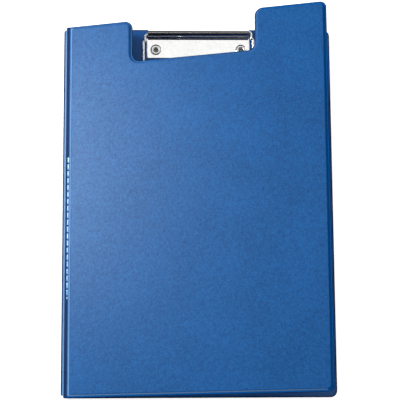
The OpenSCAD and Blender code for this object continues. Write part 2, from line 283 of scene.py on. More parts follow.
def nickel_finish(name, tint, rough, line_scale, scratch, rolled=False):
    """Bright nickel plating: drawn or rolled lines along X, faint clouding and small scratches, whose depth
    is in metres."""
    material, tree, shader = new_finish(name)
    lines = noise(tree, place_nodes(tree, line_scale), 1.0, detail=3.0, rough=0.6)
    marks = noise(tree, place_nodes(tree), 260.0, detail=4.0, rough=0.55, distortion=0.4)
    cloud = noise(tree, place_nodes(tree), 60.0, detail=2.0)
    tarnish = tuple(c * TARNISH for c in tint)
    tone = blend_colours(tree, spread(tree, cloud, 0.0, 1.0), tarnish, tint)
    tree.links.new(tone, shader.inputs["Base Color"])
    shader.inputs["Metallic"].default_value = 1.0
    tree.links.new(spread(tree, marks, rough * 0.75, rough * 1.3), shader.inputs["Roughness"])
    height = arithmetic(tree, "ADD", lines, arithmetic(tree, "MULTIPLY", marks, 0.5))
    bump = emboss(tree, shader, height, scratch)
    if rolled:
        tree.links.new(rolled_normal(tree), bump.inputs["Normal"])
    return material


# Pebbles to the metre on the outside and on the inside of the folder.
COARSE_GRAIN = 1100.0
FINE_GRAIN = 1500.0

outer_foil_finish = foil_finish("blue_grained_foil", light=(0.013, 0.140, 0.455), deep=(0.0062, 0.066, 0.228),
                                grain=COARSE_GRAIN, depth=0.00004, rough=0.36, specular=0.19)
seam_finish = foil_finish("pressed_seam_foil", light=(0.0012, 0.118, 0.440), deep=(0.0010, 0.102, 0.385),
                          grain=COARSE_GRAIN, depth=0.00001, rough=0.50, specular=0.04)
# Pale, glossier foil: a painted highlight on the spine's edge, on the crease beside it and at the foot of the
# cover's slope beside the fold.
painted_highlight_finish = foil_finish("painted_highlight_foil", light=(0.128, 0.272, 0.550), deep=(0.092, 0.220, 0.480),
                          grain=COARSE_GRAIN, depth=0.00002, rough=0.34, specular=0.4)
# Dark foil along the cut edges and in the spine's groove: painted shade.
edge_shade_finish = foil_finish("cut_edge_shade_foil", light=(0.0010, 0.030, 0.130), deep=(0.0008, 0.024, 0.105),
                          grain=COARSE_GRAIN, depth=0.00001, rough=0.60, specular=0.02)
inner_foil_finish = foil_finish("smooth_inner_foil", light=(0.018, 0.152, 0.510), deep=(0.014, 0.120, 0.410),
                                grain=FINE_GRAIN, depth=0.00002, rough=0.38, specular=0.30)
# Inner foil of the cover: the same foil as inside the back, darkened with painted shade.
shaded_lining_finish = foil_finish("painted_shade_lining_foil", light=(0.010, 0.078, 0.265), deep=(0.008, 0.062, 0.215),
                            grain=FINE_GRAIN, depth=0.00002, rough=0.38, specular=0.20)
pocket_finish = foil_finish("pocket_foil", light=(0.018, 0.072, 0.215), deep=(0.014, 0.058, 0.175),
                            grain=FINE_GRAIN, depth=0.00002, rough=0.32, specular=0.45)
# Dark, rough foil of the crease webs: painted shade in the folds.
crease_shade_finish = foil_finish("crease_shade_foil", light=(0.0030, 0.030, 0.125), deep=(0.0020, 0.020, 0.090),
                            grain=COARSE_GRAIN, depth=0.00002, rough=0.55, specular=0.1)
# Pale, glossy foil of the weld dashes: a painted highlight on their relief.
dash_highlight_finish = foil_finish("pressed_weld_highlight", light=(0.110, 0.330, 0.720), deep=(0.090, 0.290, 0.660),
                          grain=COARSE_GRAIN, depth=0.000004, rough=0.27, specular=0.70)
board_finish = greyboard_finish()
plate_finish = nickel_finish("plate_nickel", tint=(0.985, 0.98, 0.975), rough=0.07,
                             line_scale=(12.0, 900.0, 900.0), scratch=0.0000012, rolled=True)
wire_finish = nickel_finish("wire_nickel", tint=(0.97, 0.965, 0.96), rough=0.22,
                            line_scale=(60.0, 1200.0, 1200.0), scratch=0.0000015)
rivet_finish = nickel_finish("rivet_nickel", tint=(0.94, 0.93, 0.92), rough=0.12,
                             line_scale=(300.0, 300.0, 300.0), scratch=0.0000015)

NODE_FINISHES = {"cover_pocket": pocket_finish, "clip_plate": plate_finish, "wire_bow": wire_finish,
                 "hollow_rivets": rivet_finish}
for panel in ("back", "spine", "cover"):
    NODE_FINISHES[panel + "_board"] = board_finish
    NODE_FINISHES[panel + "_outer_foil"] = outer_foil_finish
    NODE_FINISHES[panel + "_inner_foil"] = inner_foil_finish
for node_name, finish in NODE_FINISHES.items():
    for material_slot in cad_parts[node_name].material_slots:
        material_slot.material = finish


# ------------------------------------------------------------------- surfaces

def put_mesh(name, points, faces, finish, crisp=40.0):
    """Object from points in millimetres and faces. An edge sharper than crisp degrees stays crisp."""
    mesh = bpy.data.meshes.new(name)
    mesh.from_pydata((points * MM).tolist(), [], faces)
    mesh.materials.append(finish)
    mesh.polygons.foreach_set("use_smooth", np.ones(len(mesh.polygons), bool))
    mesh.set_sharp_from_angle(angle=math.radians(crisp))
    mesh.update()
    piece = bpy.data.objects.new(name, mesh)
    bpy.context.scene.collection.objects.link(piece)
    return piece


def lofted_faces(rings, count, flipped=False):
    """Quads between closed rings of count points each, with a flat cap on the first and the last ring. A ring
    that lies outside the one before it faces up."""
    number = np.arange(rings * count).reshape(rings, count)
    beside = np.roll(number, -1, axis=1)
    quads = np.stack([number[:-1], number[1:], beside[1:], beside[:-1]], axis=-1).reshape(-1, 4)
    faces = quads.tolist() + [number[0].tolist(), number[-1, ::-1].tolist()]
    return [face[::-1] for face in faces] if flipped else faces


def in_back(local):
    """Panel place (u, v, outward) to the lying back board, whose outer side is down."""
    return np.stack([FOLD_X + local[..., 0], local[..., 1], PANEL_T - local[..., 2]], axis=-1)


def in_spine(local):
    """Panel place to the upright spine, whose outer side is to the left."""
    return np.stack([FOLD_X + FOIL_T - local[..., 2], local[..., 1], BACK_FOLD_Z + local[..., 0]], axis=-1)


def in_cover(local):
    """Panel place to the front cover, which rises from its fold at the cover angle."""
    u = local[..., 0]
    w = local[..., 2] - FOIL_T
    return np.stack([FOLD_X + u * math.cos(COVER_ANGLE) - w * math.sin(COVER_ANGLE), local[..., 1],
                     COVER_FOLD_Z + u * math.sin(COVER_ANGLE) + w * math.cos(COVER_ANGLE)], axis=-1)


# Points on each quarter turn of a panel's outline.
CORNER_STEPS = 14
# Radius of a panel's corner right at the fold, where the foil is cut square.
FOLD_CORNER_R = 0.15


def corner(centre, radius, start, end):
    """Quarter turn: centre plus radius times the cosine and sine of an angle that runs from start to end."""
    turn = np.radians(np.linspace(start, end, CORNER_STEPS))
    return np.stack([centre[0] + radius * np.cos(turn), centre[1] + radius * np.sin(turn)], axis=1)


def panel_loop(left, right, inset, left_r, right_r, notched, holes):
    """Anticlockwise outline of a panel: quarter turns joined by straight sides. With the inset the corners at
    the mouth of the notch shrink and its inner corners grow. With holes, the outline has a point on either
    side at the height of the rivets."""
    top = HALF_HEIGHT - inset
    turns = [corner((left + left_r, left_r - top), left_r, 180, 270),
             corner((right - right_r, right_r - top), right_r, 270, 360),
             corner((right - right_r, top - right_r), right_r, 0, 90)]
    if holes:
        turns.insert(2, np.array([[right, RIVET_Y]]))
    if notched:
        mouth_v = HALF_HEIGHT - MOUTH_R
        inner_v = HALF_HEIGHT - NOTCH_DEPTH + NOTCH_R
        turns += [corner((NOTCH_U1 + MOUTH_R, mouth_v), MOUTH_R - inset, 90, 180),
                  corner((NOTCH_U1 - NOTCH_R, inner_v), NOTCH_R + inset, 0, -90),
                  corner((NOTCH_U0 + NOTCH_R, inner_v), NOTCH_R + inset, -90, -180),
                  corner((NOTCH_U0 - MOUTH_R, mouth_v), MOUTH_R - inset, 0, 90)]
    turns.append(corner((left + left_r, top - left_r), left_r, 90, 180))
    if holes:
        turns.append(np.array([[left, RIVET_Y]]))
    return np.concatenate(turns)


def panel_rings(profile, hinge_w, width, notched, holes):
    """One closed ring for each (inset, height) of the profile. Beside the fold the flat seam is hinge_w wide
    in place of the seam width. A width makes a spine, with a fold on both sides."""
    rings = []
    for inset, height in profile:
        along = min(inset / SEAM_W, 1.0)
        past = max(inset - SEAM_W, 0.0)
        left = FOLD_SLIT + (hinge_w - FOLD_SLIT) * along + past
        left_r = max(FOLD_CORNER_R + (HINGE_CORNER_R - FOLD_CORNER_R) * along - past, FOLD_CORNER_R)
        right, right_r = (width - left, left_r) if width else (PANEL_U - inset, CORNER_R - inset)
        loop = panel_loop(left, right, inset, left_r, right_r, notched, holes)
        rings.append(np.column_stack([loop, np.full(len(loop), height)]))
    return np.array(rings)


def round_of(centre_inset, centre_height, radius, start, end, steps):
    """Profile points on a circle, at angles from start to end. 180 degrees points at the cut edge."""
    turn = np.radians(np.linspace(start, end, steps))
    return list(zip(centre_inset + radius * np.cos(turn), centre_height + radius * np.sin(turn)))


# The foil leaves the shoulder at this slope, in degrees, and meets the seam in a hollow of this radius, whose
# middle is this far in from the cut edge.
SLOPE = 56.0
FOOT_R = 0.7
FOOT_MIDDLE = 0.98
# Flat stretch of the face that the section takes in beyond the shoulder.
FACE_MARGIN = 0.35
# Gap between foils that lie on each other.
LAID_GAP = 0.005
# The cut edge of two welded foils, melted round, as (inset, height).
MELTED_EDGE = [(0.5, 0.60), (0.18, 0.59), (0.08, 0.56), (0.02, 0.50), (0.0, 0.42)]


def outer_profile():
    """Section of the outer foil from the middle of its face over the shoulder and the flat seam to the cut
    edge, and back under it along the board: every point is (inset, height). The slope is one straight line
    with a point halfway."""
    board_inset = SEAM_W + FOIL_T
    face_inset = SEAM_W + SHOULDER_R + FACE_MARGIN
    laid = FOIL_T + LAID_GAP
    shoulder = round_of(SEAM_W + SHOULDER_R, PANEL_T - SHOULDER_R, SHOULDER_R, 90, 90 + SLOPE, steps=8)
    foot = round_of(FOOT_MIDDLE, 2 * FOIL_T + FOOT_R, FOOT_R, SLOPE - 90, -90, steps=7)
    halfway = [tuple(np.mean([shoulder[-1], foot[0]], axis=0).round(3))]
    under = [(0.0, laid), (1.4, laid), (board_inset - 0.06, laid), (board_inset, 0.40), (board_inset, 1.6)]
    lining = round_of(SEAM_W + SHOULDER_R, PANEL_T - SHOULDER_R, SHOULDER_R - FOIL_T, 180, 90, steps=5)
    return ([(face_inset, PANEL_T)] + shoulder + halfway + foot + MELTED_EDGE + under
            + lining + [(face_inset, PANEL_T - FOIL_T)])


# The inner foil: how far in its section reaches, its rounded edge, and the weld line beside the board.
INNER_REACH = 3.4
INNER_EDGE = [(0.0, 0.25), (0.0, 0.07), (0.02, 0.03), (0.07, 0.0)]
WELD_GROOVE = [(1.95, 0.0), (2.05, 0.03), (2.12, 0.06), (2.5, 0.06), (2.57, 0.03), (2.67, 0.0)]


def inner_profile():
    """Section of the inner foil: a flat sheet with rounded edges and a shallow weld line beside the board."""
    laid = FOIL_T - LAID_GAP
    return ([(INNER_REACH, laid), (1.0, laid), (0.06, laid)] + INNER_EDGE + [(1.0, 0.0)] + WELD_GROOVE
            + [(INNER_REACH, 0.0)])


# Widths of the borders along the cut edge: the dark band of painted shade at the edge, where the welding
# tool presses the foils smooth, and the pale band of painted highlight along the spine's edge.
CUT_W = 0.55
PRESSED_W = 2.75
SPINE_HIGHLIGHT_W = 1.95
# Where the slope of the foil begins, and where the painted highlight at the foot of its slope beside a fold
# ends, from the cut edge.
FOOT_INSET = 1.5
LIP_HIGHLIGHT_INSET = 2.2
# The slope beside the fold is within this distance of the flat seam there.
SLOPE_REACH = 1.5
# From this height up the cover's pressed seam takes the plain foil's lighter finish, a painted sheen, round
# the notch and along the edge beside the fold.
SHEEN_PAINTED_FROM = HALF_HEIGHT - NOTCH_DEPTH - 4.0
# Bands of a foil as (inset that the band reaches, finish), from the cut edge in. The last one is plain foil.
OUTER_BANDS = [(CUT_W, edge_shade_finish), (PRESSED_W, seam_finish), (None, outer_foil_finish)]
SPINE_BANDS = [(SPINE_HIGHLIGHT_W, painted_highlight_finish), (PRESSED_W, edge_shade_finish), (None, outer_foil_finish)]
PRESSED_BAND = 2


# The rivet holes: a plain bore in the inner foil, and a round well with the same bore in the outer foil.
HOLE_SIDES = 48
BORE_R = 2.55
WELL_R = 4.7
WELL_Z = PANEL_T - 0.7
# Radius and height of the wall of each hole, from the outer to the inner side of a foil.
INNER_HOLE = [(BORE_R, FOIL_T - LAID_GAP), (BORE_R, 0.0)]
WELL_MOUTH = [(WELL_R + 0.25, PANEL_T), (WELL_R + 0.10, PANEL_T - 0.03), (WELL_R + 0.01, PANEL_T - 0.10),
              (WELL_R, PANEL_T - 0.20)]
WELL_FLOOR = [(WELL_R, WELL_Z), (WELL_R - 0.10, WELL_Z), (BORE_R, WELL_Z)]
WELL_BACK = [(BORE_R, WELL_Z - FOIL_T), (WELL_R + 0.20, WELL_Z - FOIL_T), (WELL_R + FOIL_T, WELL_Z - 0.20),
             (WELL_R + FOIL_T, PANEL_T - FOIL_T)]
OUTER_HOLE = WELL_MOUTH + WELL_FLOOR + WELL_BACK


def hole_points(hole_path):
    """Circles round both rivets for each (radius, height) of the path, in the panel's own place."""
    turn = np.linspace(0, 2 * math.pi, HOLE_SIDES, endpoint=False)
    radius, height = np.array(hole_path).T[:, :, None, None]
    centre = CLIP_X - FOLD_X + np.array([1, -1])[:, None] * RIVET_PITCH / 2
    return np.stack(np.broadcast_arrays(centre + radius * np.cos(turn), RIVET_Y + radius * np.sin(turn),
                                        height), axis=-1).reshape(-1, 3)


def pierced_faces(count, rings, first_hole, steps):
    """Flat faces of a sheet with two round holes, and the walls of the holes. Each flat face is cut into an
    upper and a lower part along the line through the holes. Hole points run anticlockwise from the right, and
    the right hole comes first in every step."""
    right_mark, left_mark = 2 * CORNER_STEPS, count - 1
    arc = np.arange(HOLE_SIDES // 2 + 1)
    below = (arc + HOLE_SIDES // 2) % HOLE_SIDES
    faces = []
    for is_inner, ring, step in ((False, 0, 0), (True, rings - 1, steps - 1)):
        outline = ring * count + np.arange(count)
        right, left = (first_hole + (2 * step + side) * HOLE_SIDES for side in (0, 1))
        over = np.concatenate([outline[right_mark:], left + arc[::-1], right + arc[::-1]])
        under = np.concatenate([outline[left_mark:], outline[:right_mark + 1], right + below[::-1],
                                left + below[::-1]])
        faces += [part[::-1].tolist() if is_inner else part.tolist() for part in (over, under)]
    number = first_hole + np.arange(2 * steps * HOLE_SIDES).reshape(-1, HOLE_SIDES)
    beside = np.roll(number, -1, axis=1)
    wall = np.stack([number[:-2], beside[:-2], beside[2:], number[2:]], axis=-1)
    return faces + wall.reshape(-1, 4).tolist()


def paint_foil(skin, profile, rings, bands, hinge_w, wide, lip_highlight, notched):
    """Finish of every face round a panel: the band that the middle between its two points of the section is
    in. On a wide panel the slope beside the fold is plain foil instead, with the painted highlight finish
    along its foot where one is given. A notched panel's pressed seam is plain foil, a painted sheen, from the
    height where that sheen begins up, as far as the notch's right mouth."""
    inset = np.array(profile)[:, 0]
    middle = (inset[:-1] + inset[1:]) / 2
    band = np.zeros(len(middle), int)
    lower = 0.0
    for index, (reach, finish) in enumerate(bands[:-1]):
        skin.data.materials.append(finish)
        band[(middle >= lower) & (middle < reach)] = index + 1
        lower = reach
    choice = np.repeat(band, rings.shape[1])
    face_inset = np.repeat(middle, rings.shape[1])
    across, along = ((rings[:-1, :, axis] + rings[1:, :, axis]).ravel() / 2 for axis in (0, 1))
    if wide:
        slope = (across < hinge_w + SLOPE_REACH) & (face_inset > FOOT_INSET)
        choice[slope] = 0
        if lip_highlight:
            skin.data.materials.append(lip_highlight)
            choice[slope & (face_inset < LIP_HIGHLIGHT_INSET)] = len(bands)
    if notched:
        # Painted sheen: the seam there takes the plain foil's lighter finish.
        painted_sheen = (across < NOTCH_U1 + MOUTH_R) & (along > SHEEN_PAINTED_FROM)
        choice[painted_sheen & (choice == PRESSED_BAND)] = 0
    painted = np.zeros(len(skin.data.polygons), np.int32)
    painted[:len(choice)] = choice
    skin.data.polygons.foreach_set("material_index", painted)


def panel_skin(name, node, slot_name, profile, shape, bands, hinge_w, width, placed, flipped, body,
               lip_highlight=None):
    """Foil of one panel: the profile carried round the panel's outline and closed by flat faces. The shape is
    plain, notched or the path of a rivet hole. The last argument is a painted highlight finish for the foot
    of the slope beside the fold."""
    pierced = isinstance(shape, list)
    rings = panel_rings(profile, hinge_w, width, shape == "notched", pierced)
    local = rings.reshape(-1, 3)
    faces = lofted_faces(*rings.shape[:2])
    if pierced:
        faces = faces[:-2] + pierced_faces(rings.shape[1], rings.shape[0], len(local), len(shape))
        local = np.concatenate([local, hole_points(shape)])
    if flipped:
        faces = [face[::-1] for face in faces]
    skin = put_mesh(name, placed(local), faces, bands[-1][1])
    paint_foil(skin, profile, rings, bands, hinge_w, width is None, lip_highlight, shape == "notched")
    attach(skin, body)
    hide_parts(node)


# What both foils of a panel share. The back board's place is a mirror image, so its faces are flipped.
COVER = {"hinge_w": PANEL_HINGE_W, "width": None, "placed": in_cover, "flipped": False, "body": "cover"}
SPINE = {"hinge_w": SPINE_HINGE_W, "width": FOLD_PITCH, "placed": in_spine, "flipped": False, "body": "spine"}
BACK = {"hinge_w": PANEL_HINGE_W, "width": None, "placed": in_back, "flipped": True, "body": "back"}

panel_skin("cover_outer_skin", "cover_outer_foil", "outer_foil", outer_profile(), "notched", OUTER_BANDS,
           lip_highlight=painted_highlight_finish, **COVER)
# The cover's inner foil is darkened with painted shade.
panel_skin("cover_inner_skin", "cover_inner_foil", "inner_foil", inner_profile(), "notched",
           [(CUT_W, edge_shade_finish), (None, shaded_lining_finish)], **COVER)
# The spine's foil: a painted highlight along its edge and painted shade in the groove beside it.
panel_skin("spine_outer_skin", "spine_outer_foil", "outer_foil", outer_profile(), "plain",
           SPINE_BANDS, **SPINE)
panel_skin("spine_inner_skin", "spine_inner_foil", "inner_foil", inner_profile(), "plain",
           [(None, inner_foil_finish)], **SPINE)
panel_skin("back_outer_skin", "back_outer_foil", "outer_foil", outer_profile(), OUTER_HOLE,
           OUTER_BANDS, **BACK)
panel_skin("back_inner_skin", "back_inner_foil", "inner_foil", inner_profile(), INNER_HOLE,
           [(CUT_W, edge_shade_finish), (None, inner_foil_finish)], **BACK)


# ------------------------------------------------------------------- creases

# The web of both foils across a fold: its thickness, and its thickness in the bend, which is within about
# the neck's reach of the fold.
CREASE_T = 0.66
CREASE_NECK = 0.44
NECK_REACH = 0.6
# The bend begins and ends this far from the fold.
CREASE_BEND = 0.55
BEND_POINTS = 13
STRAIGHT_POINTS = 8
# How far the web runs from the fold, under the foil of each panel and of the spine.
BACK_WEB = 3.0
COVER_WEB = 3.1
SPINE_WEB = 0.9
# The web ends this far inside the panels' ends, and its last stations are this far in.
WEB_END = 0.02
WEB_LAST = 0.4
# Steps of the cover crease's path that carry a painted highlight, from the spine's end.
HIGHLIGHT_STEPS = 16


def crease_path(fold, toward_first, toward_second, first_length, second_length):
    """Middle of the folded web in the X-Z plane: straight, then round the fold by the curve
    p = (1-t)^2 a + 2t(1-t) fold + t^2 b, then straight again."""
    fold, first, second = (np.array(v, float) for v in (fold, toward_first, toward_second))
    t = np.linspace(0.0, 1.0, BEND_POINTS)[:, None]
    run = np.linspace(1.0, 0.0, STRAIGHT_POINTS)[:-1, None]
    a = fold + CREASE_BEND * first
    b = fold + CREASE_BEND * second
    bend = (1 - t) ** 2 * a + 2 * t * (1 - t) * fold + t ** 2 * b
    into = a + run * (first_length - CREASE_BEND) * first
    out = b + run[::-1] * (second_length - CREASE_BEND) * second
    return np.vstack([into, bend, out])


def crease_strip(name, fold, toward_first, toward_second, first_length,
                 second_length, highlight_steps=0):
    """Both foils welded together across a fold: the path with half the thickness set off to either side,
    drawn along Y. Its path is bent round the fold from one panel to the next. It is dark with painted shade
    in the fold, and its first steps, as many as given, carry a painted highlight on both sides."""
    path = crease_path(fold, toward_first, toward_second, first_length, second_length)
    ahead = np.gradient(path, axis=0)
    ahead /= np.linalg.norm(ahead, axis=1)[:, None]
    away = np.linalg.norm(path - fold, axis=1)[:, None]
    thick = CREASE_T + (CREASE_NECK - CREASE_T) * np.exp(-(away / NECK_REACH) ** 2)
    aside = np.column_stack([-ahead[:, 1], ahead[:, 0]]) * thick / 2
    section = np.vstack([path + aside, (path - aside)[::-1]])
    upper = [0.0, HALF_HEIGHT - WEB_LAST, HALF_HEIGHT - WEB_END]
    stations = [-y for y in upper[:0:-1]] + upper
    rings = np.array([np.column_stack([section[:, 0], np.full(len(section), y), section[:, 1]])
                      for y in stations])
    strip = put_mesh(name, rings.reshape(-1, 3), lofted_faces(*rings.shape[:2], True), crease_shade_finish)
    if highlight_steps:
        strip.data.materials.append(painted_highlight_finish)
        step = np.arange(len(section))
        highlighted = np.minimum(step, len(section) - 2 - step) < highlight_steps
        painted = np.zeros(len(strip.data.polygons), np.int32)
        painted[:-2] = np.tile(highlighted, len(stations) - 1)
        strip.data.polygons.foreach_set("material_index", painted)
    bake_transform(strip)


SPINE_FOLD = (FOLD_X, BACK_FOLD_Z)
COVER_FOLD = (FOLD_X, COVER_FOLD_Z)
# Directions in the X-Z plane from a fold: along the back board, up and down the spine, and along the cover.
BACK_WAY = (1.0, 0.0)
UP_SPINE = (0.0, 1.0)
DOWN_SPINE = (0.0, -1.0)
COVER_WAY = (math.cos(COVER_ANGLE), math.sin(COVER_ANGLE))
crease_strip("spine_crease_strip", SPINE_FOLD, BACK_WAY, UP_SPINE, BACK_WEB, SPINE_WEB)
crease_strip("cover_crease_strip", COVER_FOLD, DOWN_SPINE, COVER_WAY, SPINE_WEB,
             COVER_WEB, HIGHLIGHT_STEPS)


# The dashed weld line: the pitch, length, width and height of its dashes, and its middle's distance from the
# fold. It runs from DASH_LOW to DASH_HIGH along the fold and fades over DASH_FADE at its ends.
DASH_PITCH = 6.0
DASH_LENGTH = 4.7
DASH_W = 1.65
DASH_H = 0.19
DASH_U = 2.68
DASH_LOW = -79.0
DASH_HIGH = 47.0
DASH_FADE = 9.0
# The line's mesh: points across it, the step along it, and how deep its underside lies in the foil.
DASH_POINTS = 9
DASH_STEP = 0.25
DASH_SINK = 0.05


def weld_dashes(name, placed, body):
    """Dashed weld line pressed up beside a fold. Its height is DASH_H times a flat-topped section across it
    times a flat-topped section along each dash, with plain foil between the dashes. The tool pressed the
    middle of the fold alone, and less deeply over the last DASH_FADE at either end."""
    across = np.linspace(-1.0, 1.0, DASH_POINTS)
    along = np.arange(DASH_LOW, DASH_HIGH, DASH_STEP)
    phase = np.abs((along + DASH_PITCH / 2) % DASH_PITCH - DASH_PITCH / 2) * 2 / DASH_LENGTH
    fade = np.clip(np.minimum(along - DASH_LOW, DASH_HIGH - along) / DASH_FADE, 0, 1)
    ends = np.sqrt(np.clip(1 - phase ** 6, 0, 1)) * fade
    swell = np.sqrt(np.clip(1 - across ** 4, 0, 1))
    base = 2 * FOIL_T
    upper = np.stack(np.broadcast_arrays(DASH_U + DASH_W / 2 * across, along[:, None],
                                         base + DASH_H * ends[:, None] * swell), axis=-1)
    lower = upper[:, ::-1] * (1, 1, 0) + (0, 0, base - DASH_SINK)
    rings = np.concatenate([upper, lower[:, 1:-1]], axis=1)[:, ::-1]
    points = placed(rings).reshape(-1, 3)
    # The dashes' pale colour is a painted highlight.
    line = put_mesh(name, points, lofted_faces(*rings.shape[:2]), dash_highlight_finish, crisp=60.0)
    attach(line, body)


weld_dashes("cover_weld_line", in_cover, "cover")


# ----------------------------------------------------------------- wire, rivets

# The wire, and the gap between its cross bar and the board.
WIRE_R = 1.1
WIRE_GAP = 0.3
# The bow: its width, how far its cross bar lies from the board's top edge, and its lower corners.
BOW_W = 95.5
BOW_DROP = 31.0
BOW_CORNER_R = 4.0
# The finger lift in the middle of the cross bar.
LIFT_W = 26.0
LIFT_H = 4.5
LIFT_ANGLE = 60.0
LIFT_R = 2.4
# Where the wire leaves the barrel: the lead before the bend, the bend, and the straight start of the arm.
EXIT_LEAD = 0.3
EXIT_R = 1.9
ARM_START = 2.6
# The outward step in each arm.
JOG_ANGLE = 50.0
JOG_R = 1.3
# The legs lie this far to either side of the barrel's axis, and stop this far short of its other end.
LEG_OFFSET = 1.15
LEG_STOP = 2.0
# The wire's mesh: points round it, degrees of bend between two rings, how far along each rounded end its
# rings lie, the smallest ring and the length of the rounding, both as shares of the wire's radius.
WIRE_SIDES = 28
BEND_STEP = 6
END_EASE = [0.0, 0.35, 0.65, 0.88]
END_RING = 0.02
END_BULGE = 0.4


def turned(vector, axis, angle):
    """Vector turned by an angle in degrees about a unit axis."""
    a = math.radians(angle)
    return (vector * math.cos(a) + np.cross(axis, vector) * math.sin(a)
            + axis * np.dot(axis, vector) * (1 - math.cos(a)))


def wire_stations(moves, station):
    """Places and directions along the wire. A move is (length,) or (angle, radius, roll): roll 0 bends to the
    left, roll 90 bends up."""
    course = [station]
    for move in moves:
        place, ahead, left, up = course[-1]
        if len(move) == 1:
            course.append((place + move[0] * ahead, ahead, left, up))
            continue
        angle, radius, roll = move
        axis = turned(up, ahead, roll)
        middle = place + math.copysign(radius, angle) * np.cross(axis, ahead)
        for share in np.linspace(0.0, 1.0, max(int(abs(angle) / BEND_STEP), 2) + 1)[1:]:
            part = angle * share
            course.append((middle + turned(place - middle, axis, part), turned(ahead, axis, part),
                           turned(left, axis, part), turned(up, axis, part)))
    return course


def step_moves(shift, angle, radius, roll):
    """Bend, short straight and bend back, which carry the wire sideways by shift."""
    a = math.radians(abs(angle))
    straight = (abs(shift) - 2 * radius * (1 - math.cos(a))) / math.sin(a)
    return [(angle, radius, roll), (straight,), (-angle, radius, roll)]


def step_length(shift, angle, radius):
    """Length along the wire's course that such a step takes up."""
    a = math.radians(abs(angle))
    return 2 * radius * math.sin(a) + (abs(shift) - 2 * radius * (1 - math.cos(a))) / math.tan(a)


def round_wire(course, radius):
    """Tube: a circle of the radius in the left and up directions of every station, with rounded ends, whose
    rings shrink as the square root of 1 - (1 - ease)^2."""
    place, ahead, left, up = (np.array([s[i] for s in course]) for i in range(4))
    turn = np.linspace(0, 2 * math.pi, WIRE_SIDES, endpoint=False)
    ease = np.array(END_EASE)
    round_end = np.sqrt(1 - (1 - ease) ** 2)
    size = np.concatenate([round_end, np.ones(len(place)), round_end[::-1]])
    size = np.maximum(size, END_RING) * radius
    lead = (1 - ease[:, None]) * radius * END_BULGE
    place = np.concatenate([place[:1] - lead * ahead[:1], place, place[-1:] + lead[::-1] * ahead[-1:]])
    left, up = (np.pad(way, ((len(ease), len(ease)), (0, 0)), "edge") for way in (left, up))
    return (place[:, None] + size[:, None, None] * (np.cos(turn)[:, None] * left[:, None]
                                                    + np.sin(turn)[:, None] * up[:, None]))


def make_wire_bow():
    """One wire: a leg in the barrel, an arm with an outward step, the cross bar with its raised finger lift,
    the other arm and the other leg. It leans from the barrel's axis down to the board."""
    fall = BARREL_R - WIRE_R - WIRE_GAP
    reach_y = BOW_DROP - (HALF_HEIGHT - BARREL_Y)
    tilt = math.atan2(fall, reach_y)
    leg = BARREL_W - LEG_STOP + EXIT_LEAD
    jog = BOW_W / 2 - (BARREL_W / 2 + EXIT_LEAD + EXIT_R)
    arm = (math.hypot(fall, reach_y) - LEG_OFFSET - EXIT_R - ARM_START
           - step_length(jog, JOG_ANGLE, JOG_R) - BOW_CORNER_R)
    side_bar = (BOW_W - 2 * BOW_CORNER_R - LIFT_W) / 2 - step_length(LIFT_H, LIFT_ANGLE, LIFT_R)
    moves = ([(leg,), (90, EXIT_R, 0), (ARM_START,)] + step_moves(jog, -JOG_ANGLE, JOG_R, 0)
             + [(arm,), (90, BOW_CORNER_R, 0), (side_bar,)] + step_moves(LIFT_H, LIFT_ANGLE, LIFT_R, 90)
             + [(LIFT_W,)] + step_moves(LIFT_H, -LIFT_ANGLE, LIFT_R, 90)
             + [(side_bar,), (90, BOW_CORNER_R, 0), (arm + 2 * LEG_OFFSET,)]
             + step_moves(jog, JOG_ANGLE, JOG_R, 0) + [(ARM_START,), (90, EXIT_R, 0), (leg,)])
    start = tuple(np.array(v, float) for v in ((BARREL_W / 2 - LEG_STOP, -LEG_OFFSET, 0), (-1, 0, 0),
                                               (0, -1, 0), (0, 0, 1)))
    rings = round_wire(wire_stations(moves, start), WIRE_R)
    c, s = math.cos(tilt), math.sin(tilt)
    lean = np.array([[1, 0, 0], [0, c, -s], [0, s, c]])
    points = rings.reshape(-1, 3) @ lean.T + (CLIP_X, BARREL_Y, PANEL_T + BARREL_R)
    bow = put_mesh("wire_bow_bent", points, lofted_faces(*rings.shape[:2], True), wire_finish, crisp=70.0)
    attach(bow, "bow")
    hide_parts("wire_bow")


make_wire_bow()


# A hollow rivet: points round it, and the radii of its bore and of its shank.
RIVET_SIDES = 56
RIVET_BORE_R = 1.95
SHANK_R = 2.5
# The flange's round rim: its radius, half the flange's thickness, and how far its middle is from the axis.
RIM_R = 0.45
RIM_MIDDLE = 3.65
# Rounding of the flange into the bore, and the width by which the flat top stops short of both roundings.
EYE_R = 0.5
TOP_MARGIN = 0.13
# The shank runs from this far over the rolled end's lowest point to this far under the flange.
SHANK_LOW = 0.55
SHANK_SINK = 0.02
# Heights in the bore of the section's points between the eye and the rolled end.
BORE_POINTS = [0.3, -1.0]
# The end that is rolled over in the well under the back board: its height over the table, and its section as
# (radius, height over its lowest point).
ROLL_Z = 0.2
ROLLED_END = [(1.95, 0.25), (2.02, 0.1), (2.15, 0.02), (2.4, 0.0), (3.4, 0.0), (3.58, 0.07), (3.65, 0.25),
              (3.58, 0.43), (3.4, 0.5), (2.6, 0.5)]


